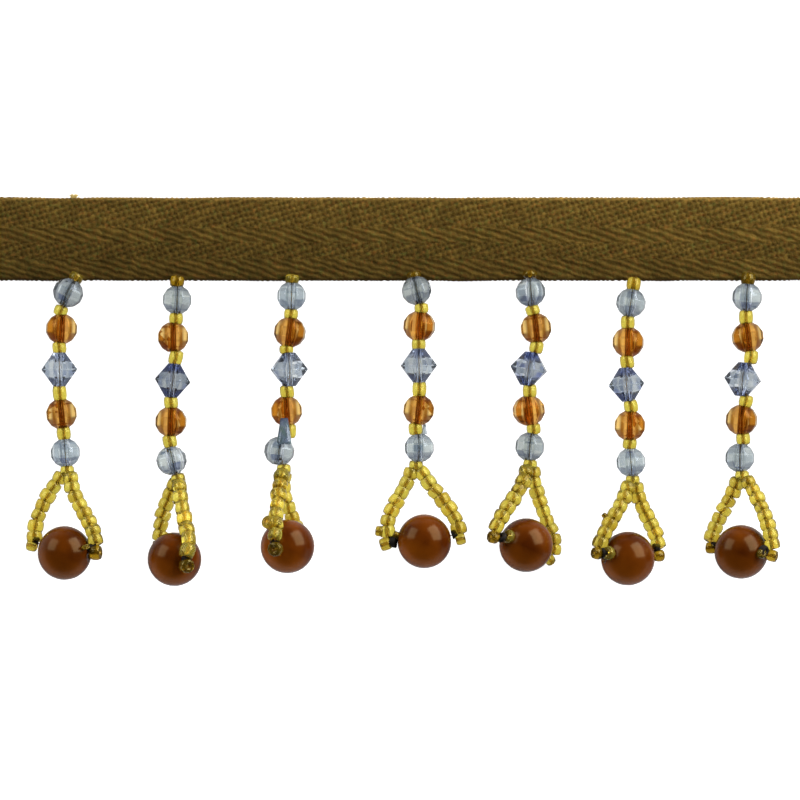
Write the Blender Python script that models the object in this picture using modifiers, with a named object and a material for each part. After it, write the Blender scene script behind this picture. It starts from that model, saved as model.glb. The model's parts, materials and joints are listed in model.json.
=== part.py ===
"""Cut length of beaded fringe trim, laid flat with its face up.

A herringbone tape lies along X with its bead drops laid out towards -Y. Each drop is one thread with small
seed beads on it and six larger beads strung between them: round blue, round amber, blue bicone, round
amber, round blue, and below the fork of the thread a large brown bead held in a loop of seed beads.
The underside of the tape and the bellies of the beads lie on the plane z = 0.
"""

import math
from collections import namedtuple

import bmesh
import bpy
from mathutils import Vector

MM = 0.001
CLEARANCE = 0.3 * MM

# Tape: woven in four lengthwise bands, each a little crowned.
TAPE_LENGTH = 148 * MM
TAPE_WIDTH = 15 * MM
TAPE_THICKNESS = 1.2 * MM
TAPE_LOWER_EDGE = 20 * MM
TAPE_EDGE_ROUND = 0.35 * MM
TAPE_EDGE_SWAY = 0.09 * MM
LOWER_EDGE_WAVES = 5
UPPER_EDGE_WAVES = 7
LOWER_EDGE_PHASE = 1.0
BAND_LIMITS = (3.9 * MM, 6.9 * MM, 9.5 * MM)
BAND_GROOVE = 0.12 * MM
TAPE_STATIONS = 30

# Heights of the upright part of the tape's edge, as shares of its thickness.
EDGE_FOOT = 0.35
EDGE_SHOULDER = 0.7

# Beads and thread.
THREAD_WIDTH = 0.7 * MM
BORE_WIDTH = THREAD_WIDTH + 2 * CLEARANCE
ROUND_WIDTH = 5.3 * MM
BICONE_WIDTH = 6.3 * MM
BICONE_LENGTH = 6.1 * MM
BICONE_END_WIDTH = 2.3 * MM
BROWN_WIDTH = 9.7 * MM
SEED_WIDTH = 2.6 * MM
SEED_WAIST = 1.9 * MM
SEED_LENGTH = 2.05 * MM
SEED_SHOULDER = 0.3 * MM

# Sides of the turned beads and of the strung seed beads, and turns of a round bead's outline.
SMALL_SIDES = 10
BROWN_SIDES = 14
SEED_SIDES = 6
SMALL_STEPS = 6
BROWN_STEPS = 9
MERGE_DISTANCE = 0.001 * MM
SHARP_DEGREES = 50

# Where the thread comes out of the tape: a short stitch above the top seed bead.
STITCH_LENGTH = 1.1 * MM
TOP_SEED_LENGTH = 1.5 * MM
BORE_MOUTH = 0.2 * MM

# Where the legs of the loop leave the fork, to the side and down, and the least room round the brown bead.
FORK_SIDE = 0.8 * MM
FORK_DOWN = 1.0 * MM
MOUTH_SEED_REACH = BROWN_WIDTH / 2 + CLEARANCE + SEED_LENGTH / 2
LEG_CLEAR = BROWN_WIDTH / 2 + SEED_WIDTH / 2 + CLEARANCE
LEG_SAMPLES = 48

# How far to the side each bead lies, in mm from the drop's root, the root's own place along the tape first.
Side = namedtuple(
    "Side",
    "root blue_top seed_1 amber_top seed_2 bicone seed_3 amber_low seed_4 blue_low fork brown",
)
SIDES = (
    Side(-58.5, -1.4, -2.7, -2.6, -3.0, -3.0, -2.9, -2.6, -2.2, -1.9, -1.6, -2.0),
    Side(-40.3, 0.0, -0.2, -0.7, -0.2, -0.8, -1.1, -1.1, -1.3, -1.0, 0.2, -0.4),
    Side(-19.6, -0.1, -0.2, -0.4, -1.0, -0.5, -0.9, -1.0, -0.9, -2.3, -1.5, -0.8),
    Side(2.3, 0.5, 1.4, 1.0, 0.9, 0.9, 1.0, 0.9, 0.0, 1.0, 0.4, 1.9),
    Side(23.2, 0.1, 0.5, 1.1, 1.2, -0.2, 0.0, -0.2, 0.7, 0.0, 0.0, -0.7),
    Side(41.9, -0.5, -1.1, -1.0, -1.2, -1.3, -0.5, -0.7, -0.7, -0.5, -0.2, -1.1),
    Side(62.5, -0.2, -0.4, -0.1, 0.5, -1.0, -0.4, -1.2, -0.9, -1.5, -1.1, -1.3),
)

# How far below the tape's lower edge each larger bead's centre lies, in mm.
Down = namedtuple("Down", "blue_top amber_top bicone amber_low blue_low brown")
DOWNS = (
    Down(2.2, 8.7, 16.0, 24.0, 31.0, 49.0),
    Down(3.5, 10.2, 18.0, 25.4, 32.4, 50.1),
    Down(2.8, 9.3, 16.0, 23.5, 30.7, 47.8),
    Down(1.8, 8.2, 15.3, 23.3, 30.1, 46.9),
    Down(2.1, 8.6, 15.9, 23.4, 29.9, 47.6),
    Down(4.0, 11.1, 18.7, 26.1, 32.7, 50.0),
    Down(3.0, 10.2, 17.8, 25.1, 31.9, 48.8),
)

# How each loop lies: its turn about the drop's own line, the fall of the brown bead's hole to the right,
# both in degrees, and how far each leg bows outwards, in mm.
Loop = namedtuple("Loop", "turn dip left_bow right_bow")
LOOPS = (
    Loop(19, 6, 1.9, 0.3),
    Loop(62, 12, 1.0, 1.0),
    Loop(-62, -6, 1.0, 1.0),
    Loop(0, -6, 1.2, 1.7),
    Loop(-34, 21, 1.0, 1.2),
    Loop(-24, 0, 1.1, 0.6),
    Loop(27, 5, 1.2, 1.5),
)

RESTING = Vector((0, 0, 1))
DOWNWARDS = Vector((0, -1, 0))


def new_collection(name):
    collection = bpy.data.collections.new(name)
    bpy.context.scene.collection.children.link(collection)
    return collection


def new_material(name, colour, roughness, transmission=0.0):
    material = bpy.data.materials.new(name)
    material.use_nodes = True
    shader = material.node_tree.nodes["Principled BSDF"]
    shader.inputs["Base Color"].default_value = (*colour, 1)
    shader.inputs["Roughness"].default_value = roughness
    shader.inputs["Metallic"].default_value = 0
    shader.inputs["Transmission Weight"].default_value = transmission
    material.diffuse_color = (*colour, 1)
    return material


def add_object(name, mesh, collection):
    piece = bpy.data.objects.new(name, mesh)
    collection.objects.link(piece)
    return piece


def loft(name, rings, material):
    """Closed skin over rings of the same number of points, with a flat cap at each end."""
    skin = bmesh.new()
    rows = [[skin.verts.new(point) for point in ring] for ring in rings]
    for first, second in zip(rows, rows[1:]):
        for i, start in enumerate(first):
            j = (i + 1) % len(first)
            skin.faces.new((start, first[j], second[j], second[i]))
    skin.faces.new(reversed(rows[0]))
    skin.faces.new(rows[-1])
    bmesh.ops.recalc_face_normals(skin, faces=skin.faces)
    mesh = bpy.data.meshes.new(name)
    skin.to_mesh(mesh)
    skin.free()
    mesh.shade_smooth()
    mesh.set_sharp_from_angle(angle=math.radians(SHARP_DEGREES))
    mesh.materials.append(material)
    return mesh


def ring_round(centre, along, across, radius):
    """Points of a ring that stands square to the direction along."""
    side = along.cross(across).normalized()
    up = side.cross(along).normalized()
    turns = [2 * math.pi * (i + 0.5) / SEED_SIDES for i in range(SEED_SIDES)]
    return [centre + radius * (math.cos(turn) * side + math.sin(turn) * up) for turn in turns]


def seed_rings(centre, along, across, length):
    """Four rings of one seed bead: narrow end, two shoulders, narrow end."""
    shoulder = min(SEED_SHOULDER, length / 3)
    places = (-length / 2, shoulder - length / 2, length / 2 - shoulder, length / 2)
    widths = (SEED_WAIST, SEED_WIDTH, SEED_WIDTH, SEED_WAIST)
    return [
        ring_round(centre + along * place, along, across, width / 2)
        for place, width in zip(places, widths)
    ]


def tape_section(x):
    """Outline of the tape across its width at one place along it, flat beneath and crowned in four bands."""
    phase = x / TAPE_LENGTH * 2 * math.pi
    lower_wave = math.sin(LOWER_EDGE_WAVES * phase + LOWER_EDGE_PHASE)
    low = TAPE_LOWER_EDGE + TAPE_EDGE_SWAY * lower_wave
    high = TAPE_LOWER_EDGE + TAPE_WIDTH + TAPE_EDGE_SWAY * math.sin(UPPER_EDGE_WAVES * phase)
    crown = TAPE_THICKNESS
    groove = TAPE_THICKNESS - BAND_GROOVE
    foot = TAPE_THICKNESS * EDGE_FOOT
    shoulder = TAPE_THICKNESS * EDGE_SHOULDER
    outline = [(low, foot), (low, shoulder), (low + TAPE_EDGE_ROUND, crown)]
    for limit in BAND_LIMITS:
        at = TAPE_LOWER_EDGE + limit
        outline += [(at - TAPE_EDGE_ROUND, crown), (at, groove), (at + TAPE_EDGE_ROUND, crown)]
    outline += [(high - TAPE_EDGE_ROUND, crown), (high, shoulder), (high, foot)]
    outline += [(high - TAPE_EDGE_ROUND, 0), (low + TAPE_EDGE_ROUND, 0)]
    return [Vector((x, y, z)) for y, z in outline]


def make_tape(collection, material):
    step = TAPE_LENGTH / TAPE_STATIONS
    sections = [tape_section(i * step - TAPE_LENGTH / 2) for i in range(TAPE_STATIONS + 1)]
    add_object("tape", loft("tape", sections, material), collection)


def round_profile(width, steps):
    """Outline of a round bead with a bore, down its outer side and up the bore, and half its length."""
    mouth = math.asin(BORE_WIDTH / width)
    turns = [mouth + (math.pi - 2 * mouth) * i / steps for i in range(steps + 1)]
    return [(width / 2 * math.sin(turn), width / 2 * math.cos(turn)) for turn in turns]


def bicone_profile():
    half = BICONE_LENGTH / 2
    end = BICONE_END_WIDTH / 2
    bore = BORE_WIDTH / 2
    return [(bore, half), (end, half), (BICONE_WIDTH / 2, 0), (end, -half), (bore, -half)]


def bead_mesh(name, profile, material):
    """The outline of a turned bead as a closed loop of edges, to be swept round Z."""
    count = len(profile)
    mesh = bpy.data.meshes.new(name)
    edges = [(i, (i + 1) % count) for i in range(count)]
    mesh.from_pydata([(radius, 0, height) for radius, height in profile], edges, [])
    mesh.materials.append(material)
    return mesh


def place_bead(name, mesh, sides, centre, along, smooth, collection):
    bead = add_object(name, mesh, collection)
    bead.location = centre
    bead.rotation_mode = "QUATERNION"
    bead.rotation_quaternion = along.to_track_quat("Z", "Y")
    turning = bead.modifiers.new("turned", "SCREW")
    turning.axis = "Z"
    turning.angle = 2 * math.pi
    turning.steps = sides
    turning.render_steps = sides
    turning.merge_threshold = MERGE_DISTANCE
    turning.use_smooth_shade = smooth


class Drop:
    """Places of the beads and the thread of one drop, worked out from its row of each table."""

    def __init__(self, side, down, loop):
        self.side = side
        self.down = down
        self.loop = loop
        self.beads = [self.bead_centre(part) for part in Down._fields[:-1]]
        self.halves = [self.half_length(part) for part in Down._fields[:-1]]
        self.place_seeds()
        self.aim_beads()
        self.place_loop()

    def across(self, part):
        shift = 0 if part == "root" else getattr(self.side, part)
        return (self.side.root + shift) * MM

    def bead_centre(self, part):
        down = getattr(self.down, part) * MM
        rest = BICONE_WIDTH / 2 if part == "bicone" else ROUND_WIDTH / 2
        if part == "blue_top":
            rest = max(rest, self.height_over_edge(down))
        return Vector((self.across(part), TAPE_LOWER_EDGE - down, rest))

    def height_over_edge(self, down):
        """Height at which a round bead just clears the tape's lower edge, which some of them lie over."""
        clear = ROUND_WIDTH / 2 + CLEARANCE
        reach = min(clear, down - TAPE_EDGE_SWAY)
        return TAPE_THICKNESS * EDGE_SHOULDER + math.sqrt(clear**2 - reach**2)

    def half_length(self, part):
        if part == "bicone":
            return BICONE_LENGTH / 2
        return math.sqrt(ROUND_WIDTH**2 - BORE_WIDTH**2) / 2

    def place_seeds(self):
        """The seed beads on the straight part, each with the length that its neighbours leave it."""
        beads, halves = self.beads, self.halves
        above_tape = TAPE_THICKNESS + CLEARANCE + SEED_WIDTH / 2
        top = beads[0].y + halves[0] + CLEARANCE + TOP_SEED_LENGTH / 2
        self.seeds = [(Vector((self.across("root"), top, above_tape)), TOP_SEED_LENGTH)]
        for i, part in enumerate(("seed_1", "seed_2", "seed_3", "seed_4")):
            upper = beads[i].y - halves[i] - CLEARANCE
            lower = beads[i + 1].y + halves[i + 1] + CLEARANCE
            height = (beads[i].z + beads[i + 1].z) / 2
            centre = Vector((self.across(part), (upper + lower) / 2, height))
            self.seeds.append((centre, upper - lower))
        fork = beads[-1].y - halves[-1] - CLEARANCE - SEED_LENGTH / 2
        self.seeds.append((Vector((self.across("fork"), fork, beads[-1].z)), SEED_LENGTH))

    def aim_beads(self):
        """Each larger bead leans along the line between the seed beads above and below it."""
        places = [centre for centre, _ in self.seeds]
        self.aims = [(below - above).normalized() for above, below in zip(places, places[1:])]

    def place_loop(self):
        turn = math.radians(self.loop.turn)
        dip = math.radians(self.loop.dip)
        self.outwards = Vector((math.cos(turn), 0, math.sin(turn)))
        self.hole = Vector((math.cos(dip) * math.cos(turn), -math.sin(dip), math.cos(dip) * math.sin(turn)))
        lowest_seed = MOUTH_SEED_REACH * abs(self.hole.z) + SEED_WIDTH / 2
        rest = max(BROWN_WIDTH / 2, lowest_seed)
        self.brown = Vector((self.across("brown"), TAPE_LOWER_EDGE - self.down.brown * MM, rest))

    def column_rings(self):
        """Rings from the stitch on the tape down to the fork: thread in the bores, seed beads between."""
        thread = THREAD_WIDTH / 2
        first, length = self.seeds[0]
        stitch_rest = TAPE_THICKNESS + CLEARANCE + thread
        stitch = first - DOWNWARDS * (length / 2 + STITCH_LENGTH)
        stitch.z = stitch_rest
        rings = [ring_round(stitch, DOWNWARDS, RESTING, thread)]
        for i, (centre, length) in enumerate(self.seeds):
            around = self.aims[max(0, i - 1) : i + 1]
            along = sum(around, Vector()).normalized()
            rings += seed_rings(centre, along, RESTING, length)
            if i < len(self.beads):
                reach = self.aims[i] * (self.halves[i] + BORE_MOUTH)
                for end in (self.beads[i] - reach, self.beads[i] + reach):
                    rings.append(ring_round(end, self.aims[i], RESTING, thread))
        return rings

    def leg_path(self, hand):
        """Points down one leg of the loop, from the fork to the seed bead at the brown bead's hole."""
        bow = self.loop.right_bow if hand > 0 else self.loop.left_bow
        side = self.outwards * hand
        fork = self.seeds[-1][0]
        start = fork + side * FORK_SIDE + DOWNWARDS * FORK_DOWN
        end = self.brown + self.hole * (hand * MOUTH_SEED_REACH)
        # A cubic curve's middle lies three quarters of the way to its handles.
        push = side * (bow * MM * 4 / 3)
        near = start.lerp(end, 1 / 3) + push
        far = start.lerp(end, 2 / 3) + push
        path = [fork]
        for i in range(LEG_SAMPLES + 1):
            t = i / LEG_SAMPLES
            s = 1 - t
            point = s**3 * start + 3 * s * s * t * near + 3 * s * t * t * far + t**3 * end
            away = point - self.brown
            if i < LEG_SAMPLES and away.length < LEG_CLEAR:
                point = self.brown + away.normalized() * LEG_CLEAR
            point.z = max(point.z, SEED_WIDTH / 2)
            path.append(point)
        return path

    def leg_rings(self, hand):
        path = self.leg_path(hand)
        marks = [0.0]
        for before, after in zip(path, path[1:]):
            marks.append(marks[-1] + (after - before).length)
        first = marks[1]
        last = marks[-1] - SEED_WIDTH / 2
        count = round((last - first) / SEED_LENGTH)
        pitch = (last - first) / count
        thread = THREAD_WIDTH / 2
        rings = [ring_round(path[0], (path[1] - path[0]).normalized(), RESTING, thread)]
        for k in range(count):
            centre, along = along_path(path, marks, first + (k + 0.5) * pitch)
            beads = seed_rings(centre, along, RESTING, pitch)
            rings += beads if k == count - 1 else beads[:-1]
        along = (path[-1] - path[-2]).normalized()
        rings.append(ring_round(path[-1], along, RESTING, thread))
        return rings

    def pin_rings(self):
        """The thread through the brown bead, with a seed bead at each mouth of its hole."""
        rings = []
        for hand in (-1, 1):
            centre = self.brown + self.hole * (hand * MOUTH_SEED_REACH)
            rings += seed_rings(centre, self.hole, DOWNWARDS, SEED_LENGTH)
            mouth = self.brown + self.hole * (hand * (BROWN_WIDTH / 2 + BORE_MOUTH))
            at = len(rings) if hand < 0 else len(rings) - 4
            rings.insert(at, ring_round(mouth, self.hole, DOWNWARDS, THREAD_WIDTH / 2))
        return rings


def along_path(path, marks, distance):
    """Point and direction at a distance along a path whose points have the running lengths in marks."""
    for i in range(1, len(path)):
        if marks[i] >= distance:
            share = (distance - marks[i - 1]) / (marks[i] - marks[i - 1])
            return path[i - 1].lerp(path[i], share), (path[i] - path[i - 1]).normalized()
    return path[-1], (path[-1] - path[-2]).normalized()


def make_thread(name, drop, collection, joined, material):
    """One drop's thread with its seed beads, its legs and cross piece joined to the straight part."""
    thread = add_object(name, loft(name, drop.column_rings(), material), collection)
    pieces = {
        "left_leg": drop.leg_rings(-1),
        "right_leg": drop.leg_rings(1),
        "cross": drop.pin_rings(),
    }
    for label, rings in pieces.items():
        helper_name = f"{name}_{label}"
        helper = add_object(helper_name, loft(helper_name, rings, material), joined)
        helper.hide_render = True
        helper.display_type = "WIRE"
        join = thread.modifiers.new(label, "BOOLEAN")
        join.operation = "UNION"
        join.object = helper


def main():
    for old in list(bpy.data.objects):
        bpy.data.objects.remove(old, do_unlink=True)
    parts = new_collection("beaded_fringe_trim")
    joined = new_collection("joined_pieces")
    joined.hide_render = True
    cloth = new_material("olive_twill", (0.10, 0.07, 0.02), 0.85)
    strung = new_material("golden_seed_beads", (0.72, 0.58, 0.10), 0.12, 0.6)
    blue = new_material("pale_blue_glass", (0.62, 0.70, 0.78), 0.08, 0.9)
    amber = new_material("amber_glass", (0.70, 0.30, 0.04), 0.08, 0.8)
    brown = new_material("brown_resin", (0.11, 0.03, 0.005), 0.15)
    make_tape(parts, cloth)
    blue_round = bead_mesh("blue_round", round_profile(ROUND_WIDTH, SMALL_STEPS), blue)
    amber_round = bead_mesh("amber_round", round_profile(ROUND_WIDTH, SMALL_STEPS), amber)
    bicone = bead_mesh("bicone", bicone_profile(), blue)
    brown_round = bead_mesh("brown_round", round_profile(BROWN_WIDTH, BROWN_STEPS), brown)
    shapes = (blue_round, amber_round, bicone, amber_round, blue_round)
    for number, row in enumerate(zip(SIDES, DOWNS, LOOPS), 1):
        drop = Drop(*row)
        make_thread(f"drop{number}_thread", drop, parts, joined, strung)
        for part, shape, centre, aim in zip(Down._fields, shapes, drop.beads, drop.aims):
            smooth = part != "bicone"
            place_bead(f"drop{number}_{part}", shape, SMALL_SIDES, centre, aim, smooth, parts)
        place_bead(f"drop{number}_brown", brown_round, BROWN_SIDES, drop.brown, drop.hole, True, parts)


main()
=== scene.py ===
"""Looks of a cut length of beaded fringe: herringbone tape and seven drops of glass and resin beads."""

import json
import math
import random
from collections import namedtuple

import bmesh
import bpy
from mathutils import Matrix, Vector

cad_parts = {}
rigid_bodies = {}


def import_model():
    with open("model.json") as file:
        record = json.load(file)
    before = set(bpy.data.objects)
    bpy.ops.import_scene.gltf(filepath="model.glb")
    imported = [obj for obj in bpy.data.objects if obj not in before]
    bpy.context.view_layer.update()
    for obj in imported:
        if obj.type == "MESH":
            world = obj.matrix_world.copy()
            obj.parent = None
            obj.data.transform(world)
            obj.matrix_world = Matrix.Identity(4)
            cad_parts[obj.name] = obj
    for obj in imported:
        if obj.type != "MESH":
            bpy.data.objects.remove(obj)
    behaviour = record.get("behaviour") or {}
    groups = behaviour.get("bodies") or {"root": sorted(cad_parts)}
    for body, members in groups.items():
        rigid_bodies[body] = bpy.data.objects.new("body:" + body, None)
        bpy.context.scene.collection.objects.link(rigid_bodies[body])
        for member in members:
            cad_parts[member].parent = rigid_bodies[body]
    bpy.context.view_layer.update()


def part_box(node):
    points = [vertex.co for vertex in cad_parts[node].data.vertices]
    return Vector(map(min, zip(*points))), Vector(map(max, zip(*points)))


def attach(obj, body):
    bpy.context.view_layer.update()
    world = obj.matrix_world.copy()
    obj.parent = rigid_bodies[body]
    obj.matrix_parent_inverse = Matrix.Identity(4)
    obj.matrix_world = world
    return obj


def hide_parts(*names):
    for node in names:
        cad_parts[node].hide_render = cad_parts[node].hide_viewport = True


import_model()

MM = 0.001
TAU = 2 * math.pi

# Tape: four lengthwise bands, whose ribs lean in turn to the right and to the left. The second and the
# fourth from the beads are quieter.
TAPE_LOW, TAPE_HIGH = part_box("tape")
TAPE_MARGIN = 0.15 * MM
BAND_LIMITS = (3.9 * MM, 6.9 * MM, 9.5 * MM)
RIB_PITCH = 1.12 * MM
RIB_SLOPE = 0.32
PICK_PITCH = 0.95 * MM
PICK_STEP = 0.37
SCALLOP_PITCH = 0.8 * PICK_PITCH
QUIET_RIBS = 0.65

# Unevenness of the weave: how fine its noise is, how far that shifts it, and how rich the noise is.
Cloud = namedtuple("Cloud", "scale reach detail", defaults=(1.0,))
RIB_DRIFT = Cloud(110, 1.1)
RIB_WOBBLE = Cloud(650, 0.8)
PICK_DRIFT = Cloud(240, 1.4)
# The streaks vary the painted light on the ribs' crests: their noise, and how many run per metre and per rib.
PAINTED_RIB_STREAKS = Cloud(1.0, 1.0)
PAINTED_STREAKS_PER_METRE = 230
PAINTED_STREAKS_PER_RIB = 0.9
EDGE_SCALLOPS = Cloud(300, 3)
EDGE_SWAY = Cloud(60, 5, 3.0)
FINE_SWELL = Cloud(1500, 0.14, 2.0)
BROAD_SWELL = Cloud(100, 0.16)
LIGHT_PATCHES = Cloud(130, 0.4)

# Yarns of the tape, and its flecks of other yarn: how fine, how rare and what colour.
OLIVE_YARN = (0.112, 0.068, 0.0125)
BROWN_YARN = (0.155, 0.094, 0.0180)
SELVEDGE_YARN = (0.19, 0.115, 0.026)
FLECKS = (
    (1500.0, -0.7, (0.19, 0.080, 0.016)),
    (1150.0, -0.75, (0.105, 0.100, 0.020)),
)

# Beads and thread.
ROUND_WIDTH = 5.3 * MM
BORE_WIDTH = 1.3 * MM
BICONE_WIDTH = 6.3 * MM
BICONE_LENGTH = 6.1 * MM
BICONE_END_WIDTH = 2.3 * MM
BROWN_WIDTH = 9.7 * MM
SEED_WIDTH = 2.6 * MM
SEED_HOLE_WIDTH = 0.6 * MM
THREAD_WIDTH = 0.26 * MM
STITCH_LENGTH = 0.1 * MM
STITCH_DEPTH = 0.4 * MM

# Outlines of the beads, in rings of radius and height: shares of the size for a seed bead, and mm for the
# others. The chip of glass is given whole, the others by their upper half.
SEED_RINGS = ((0.31, 0.5), (0.45, 0.425), (0.5, 0.17))
ROUND_RINGS = ((0.95, 2.55), (2.05, 1.88), (2.8, 0.7))
CHIP_RINGS = ((0.1, -2.35), (0.7, -2.35), (1.35, 2.0), (1.2, 2.35), (0.1, 2.35))
SEED_SIDES = 9
CUT_SIDES = 8
CHIP_SIDES = 6
BROWN_SIDES = 32
BROWN_STEPS = 20

# The seed beads of the legs, and how far their widths, lengths and tones range.
LEG_SEED_WIDTH = 2.9 * MM
LEG_SEED_PITCH = 1.88 * MM
WIDTH_RANGE = (0.90, 1.06)
LENGTH_RANGE = (0.98, 1.12)
TONE_RANGE = (0.76, 1.0)
COLUMN_TONE = 0.9

# Where the legs leave the fork, and the room that they keep round the brown bead.
FORK_SIDE = 0.75 * MM
FORK_DOWN = 0.4 * MM
FORK_SEED_LENGTH = 2.0 * MM
LEG_CLEAR = BROWN_WIDTH / 2 + SEED_WIDTH / 2
LEG_SAMPLES = 48
SEED_NESTING = 0.5 * MM
SHORTEST_SEED = 1.3 * MM

# Legs that rise this far in mm towards the eye have longer seed beads, and painted light on them: a raised
# tone for their sides that face the light.
FRONT_LIFT = 4.5
FRONT_LEG_PAINTED_LIGHT = 1.3
FRONT_SEED_PITCH = 2.3 * MM

# How light each brown bead is.
BROWN_TONES = (0.85, 1.03, 1.25, 1.16, 0.96, 0.97, 0.85)

# How light each glass bead is, from the first drop to the last.
LIGHTS = {
    "blue_top": (0.74, 0.83, 1.18, 0.59, 0.90, 0.97, 1.00),
    "amber_top": (0.90, 0.85, 0.81, 1.01, 0.77, 0.98, 0.80),
    "bicone": (1.02, 0.71, 0.90, 0.86, 0.80, 0.90, 0.82),
    "amber_low": (0.75, 0.85, 0.93, 0.83, 1.04, 1.04, 0.81),
    "blue_low": (1.26, 0.95, 0.92, 1.07, 0.82, 1.16, 1.03),
}
PARTS = tuple(LIGHTS)

# How far each bicone is from dark blue: how little painted shade it gets at its ends and in patches.
BICONE_TONES = (0.95, 0.05, 1.0, 0.65, 0.0, 0.35, 0.55)

# The seed bead at the tape of each drop: its height above the tape's edge and its length in mm, and its tone,
# kept low as painted shade from the tape.
Top = namedtuple("Top", "up length tone")
TOPS = (
    Top(0.6, 1.6, 0.68),
    Top(-0.1, 2.0, 0.5),
    Top(0.35, 1.7, 0.8),
    Top(1.0, 1.3, 0.5),
    Top(1.2, 1.2, 0.5),
    Top(-0.6, 2.4, 0.74),
    Top(0.35, 2.2, 0.55),
)

# Sideways places in mm: the root along the tape, then the five lower seed beads from the root. The loop's
# turn from the tape's direction and its dip in degrees, and its two legs: how far each bows outwards, how
# much more its upper and its lower part lean outwards, and where it ends from the brown bead's middle.
Leg = namedtuple("Leg", "bow near far across up lift")
Drop = namedtuple("Drop", "root shifts turn dip left right")
DROPS = (
    Drop(-58.5, (-2.7, -3.0, -2.9, -2.2, -1.6), 19, 6,
         Leg(1.5, -0.5, 0.35, -5.4, 1.9, -1.8), Leg(0.1, -2.3, 1.25, 5.7, 1.5, 1.9)),
    Drop(-40.3, (-0.2, -0.2, -1.1, -1.3, 0.2), 62, 12,
         Leg(2.3, 0.0, 0.0, -2.6, 1.3, -5.1), Leg(0.0, -0.9, 1.6, 2.2, 0.6, 6.0)),
    Drop(-19.6, (-0.2, -1.0, -0.9, -0.5, -1.5), -68, -6,
         Leg(0.4, 0.0, 0.3, -2.2, 1.2, 6.0), Leg(0.3, -2.7, 0.0, 2.4, 0.6, -5.6)),
    Drop(2.3, (1.4, 0.9, 1.0, 0.3, 0.4), 0, -6,
         Leg(1.5, -2.7, 0.7, -6.5, 0.9, 0.0), Leg(1.4, -2.5, 0.7, 6.2, 1.3, 0.0)),
    Drop(23.2, (0.5, 1.2, 0.0, 0.7, 0.0), -34, 21,
         Leg(1.2, -3.2, -0.7, -5.7, 2.6, 3.6), Leg(0.5, -2.0, 0.9, 4.9, -1.7, -3.2)),
    Drop(41.9, (-1.1, -1.2, -0.5, -0.7, -0.2), -24, 0,
         Leg(0.9, -2.3, -0.35, -5.3, 2.0, 2.8), Leg(0.6, -2.3, 0.45, 5.6, 1.8, -2.4)),
    Drop(62.5, (-0.4, 0.5, -0.4, -0.9, -1.1), 27, 5,
         Leg(1.2, -2.0, -0.35, -5.4, 1.8, -2.8), Leg(1.4, -0.55, -0.55, 5.6, 0.5, 2.9)),
)

# What sits at the mouths of each brown bead's hole, from the bead's middle and in mm: the knots of dark
# thread and the odd seed beads round them. The tone is how light a seed bead is: its own tone, with painted
# shade on the seed beads that sit in the mouths and painted light on those that show a side facing the light.
End = namedtuple("End", "drop across up lift width length tone", defaults=(1.0,))
KNOTS = (
    End(1, -5.3, 2.2, -1.7, 1.5, 1.3),
    End(1, 5.1, 0.8, 2.0, 2.1, 1.5),
    End(2, 2.3, 0.2, 5.4, 2.1, 1.2),
    End(3, -2.2, 0.5, 5.3, 2.0, 1.2),
    End(4, -5.7, 0.0, 0.1, 2.5, 1.8),
    End(4, 5.4, 1.3, 0.1, 1.7, 1.3),
    End(5, -4.4, 1.5, 4.0, 2.2, 0.9),
    End(6, -4.5, 1.0, 3.3, 2.3, 0.9),
    End(6, 5.3, 1.9, -2.0, 1.7, 1.4),
    End(7, -4.9, 1.2, -2.4, 1.4, 1.1),
    End(7, 4.0, 0.2, 3.7, 2.3, 1.3),
)
ODD_SEEDS = (
    End(1, -5.9, 1.3, -1.9, 2.1, 1.9, 0.85),
    End(1, 5.7, 0.1, 2.3, 2.8, 1.9, 0.5),
    End(1, 3.9, 1.1, 3.9, 1.0, 1.6, 0.8),
    End(2, 2.3, -1.1, 5.5, 2.7, 1.8, 0.5),
    End(3, -2.1, -0.4, 5.6, 2.8, 1.8, 0.5),
    End(3, -3.3, 4.3, 4.5, 2.5, 1.8, 1.15),
    End(4, -7.0, -0.5, -0.1, 2.4, 2.0, 0.75),
    End(4, -8.1, 1.8, 0.3, 1.9, 1.4, 0.7),
    End(4, -5.1, 1.1, 0.6, 1.4, 1.2, 0.45),
    End(4, 6.5, 0.4, 0.0, 2.1, 1.8, 0.75),
    End(5, -5.9, 1.5, 4.0, 2.4, 1.6, 0.5),
    End(5, -3.2, 1.6, 3.7, 2.6, 1.3, 0.95),
    End(5, 4.2, -2.6, -3.3, 2.0, 1.8, 0.8),
    End(6, -5.6, 1.0, 3.2, 2.3, 1.6, 0.5),
    End(6, -3.5, 1.0, 3.8, 2.6, 1.3, 0.95),
    End(6, 5.6, 0.5, -2.2, 2.2, 1.8, 0.5),
    End(6, -4.2, 7.7, 0.9, 1.0, 0.9, 0.4),
    End(7, -5.4, 0.7, -2.7, 2.1, 1.8, 0.5),
    End(7, 3.5, -0.3, 4.1, 1.8, 1.2, 0.6),
    End(7, 5.5, -0.7, 3.0, 2.2, 1.8, 0.6),
)

# How the beads of each piece are strung: the slot, their greatest lean and spin in degrees, and the seed.
STRINGING = {
    "seed_beads": ("seed_beads", 12, 180, 3),
    "knots": ("seed_beads", 20, 180, 11),
    "blue_rounds": ("blue_glass", 0, 10, 21),
    "amber_rounds": ("amber_glass", 0, 10, 22),
    "blue_bicones": ("blue_glass", 0, 10, 23),
    "glass_chips": ("blue_glass", 0, 10, 24),
    "brown_beads": ("brown_resin", 0, 180, 31),
}

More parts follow.
